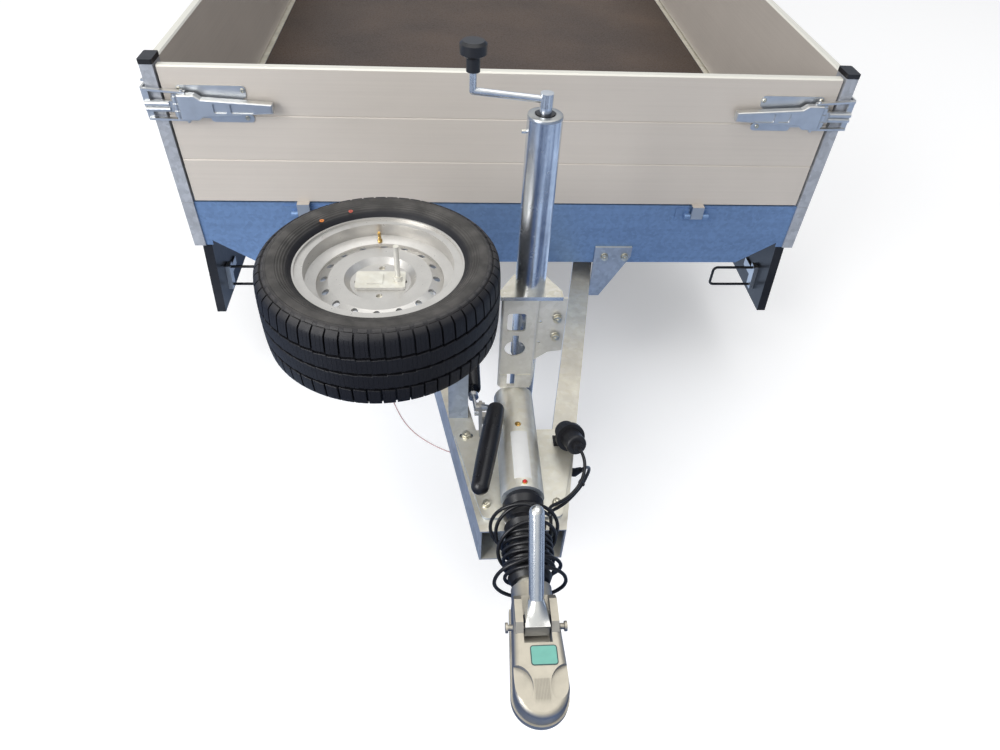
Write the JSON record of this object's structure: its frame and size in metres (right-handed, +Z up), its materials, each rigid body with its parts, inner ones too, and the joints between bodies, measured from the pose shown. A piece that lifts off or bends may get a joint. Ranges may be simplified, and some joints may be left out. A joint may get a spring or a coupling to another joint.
{
  "type": "flatbed utility trailer",
  "caption": "Two-axle braked flatbed trailer with hinged drop boards, V drawbar, ball coupling, jockey wheel jack and a spare wheel on the drawbar.",
  "frame": {"origin": "on the ground, below the middle of the overall length and width", "axes": "+X to the right of someone facing the nose, +Y rearwards from the coupling to the tailgate, +Z up"},
  "size_m": [1.914, 4.554, 1.2673],
  "materials": {
    "galvanised": "hot-dip galvanised, satin",
    "zinc": "bright zinc plated",
    "board": "anodised, warm grey",
    "panel": "galvanised sheet",
    "black_plastic": "moulded, matt",
    "black_paint": "black, satin",
    "rubber": "black rubber",
    "tyre": "black tyre rubber",
    "rim": "silver lacquer",
    "cast": "zinc plated casting",
    "floor": "film-faced plywood",
    "lamp": "red lamp lens",
    "cable": "clear sheath over thin steel cable"
  },
  "bodies": {
    "chassis": {"axles": "galvanised", "beam_tabs": "galvanised", "bed_frame": "galvanised", "bellows": "rubber", "chock_cradles": "black_paint", "corner_posts": "galvanised", "coupling_head": "cast", "coupling_lever": "zinc", "cradle_clamps": "zinc", "drawbar_beams": "galvanised", "drawtube": "zinc", "floor_deck": "floor", "front_panel": "panel", "handbrake_lever": "rubber", "handbrake_strut": "black_paint", "jack_bracket": "galvanised", "jack_crank": "zinc", "jack_outer_tube": "galvanised", "lead_to_gland": "rubber", "lead_to_plug": "rubber", "lead_winding": "rubber", "mudguards": "black_plastic", "overrun_housing": "galvanised", "plug": "black_plastic", "plug_holder": "black_plastic", "post_caps": "black_plastic", "rear_lamps": "lamp", "rear_panel": "panel", "safety_cable": "cable", "side_plates": "black_paint", "spare_carrier": "galvanised", "spare_clamp": "zinc", "spare_rim": "rim", "spare_tyre": "tyre"},
    "front_board": {"front_board": "board", "front_latches": "zinc"},
    "tailgate": {"tailgate": "board", "tailgate_latches": "zinc"},
    "left_board": {"left_board": "board", "left_latches": "zinc"},
    "right_board": {"right_board": "board", "right_latches": "zinc"},
    "jack_leg": {"jack_inner_leg": "galvanised"},
    "jockey_wheel": {"jockey_wheel": "rubber"},
    "wheel_front_left": {"rim_front_left": "rim", "tyre_front_left": "tyre"},
    "wheel_front_right": {"rim_front_right": "rim", "tyre_front_right": "tyre"},
    "wheel_rear_left": {"rim_rear_left": "rim", "tyre_rear_left": "tyre"},
    "wheel_rear_right": {"rim_rear_right": "rim", "tyre_rear_right": "tyre"}
  },
  "joints": [
    {"name": "front_board_hinge", "type": "hinge", "parent": "chassis", "child": "front_board", "pos_m": [0, -0.916, 0.6], "axis": [1, 0, 0], "range_deg": [0, 48]},
    {"name": "tailgate_hinge", "type": "hinge", "parent": "chassis", "child": "tailgate", "pos_m": [0, 2.256, 0.6], "axis": [-1, 0, 0], "range_deg": [0, 180]},
    {"name": "right_board_hinge", "type": "hinge", "parent": "chassis", "child": "right_board", "pos_m": [0.936, 0.67, 0.6], "axis": [0, 1, 0], "range_deg": [0, 180]},
    {"name": "left_board_hinge", "type": "hinge", "parent": "chassis", "child": "left_board", "pos_m": [-0.936, 0.67, 0.6], "axis": [0, -1, 0], "range_deg": [0, 180]},
    {"name": "jack_slide", "type": "slide", "parent": "chassis", "child": "jack_leg", "axis": [0, 0, 1], "range_m": [-0.08, 0.25]},
    {"name": "jockey_wheel_spin", "type": "hinge", "parent": "jack_leg", "child": "jockey_wheel", "pos_m": [0.025, -1.363, 0.1], "axis": [1, 0, 0], "continuous": true},
    {"name": "wheel_front_left_spin", "type": "hinge", "parent": "chassis", "child": "wheel_front_left", "pos_m": [-0.745, 0.395, 0.2625], "axis": [1, 0, 0], "continuous": true},
    {"name": "wheel_front_right_spin", "type": "hinge", "parent": "chassis", "child": "wheel_front_right", "pos_m": [0.745, 0.395, 0.2625], "axis": [1, 0, 0], "continuous": true},
    {"name": "wheel_rear_left_spin", "type": "hinge", "parent": "chassis", "child": "wheel_rear_left", "pos_m": [-0.745, 1.095, 0.2625], "axis": [1, 0, 0], "continuous": true},
    {"name": "wheel_rear_right_spin", "type": "hinge", "parent": "chassis", "child": "wheel_rear_right", "pos_m": [0.745, 1.095, 0.2625], "axis": [1, 0, 0], "continuous": true}
  ]
}
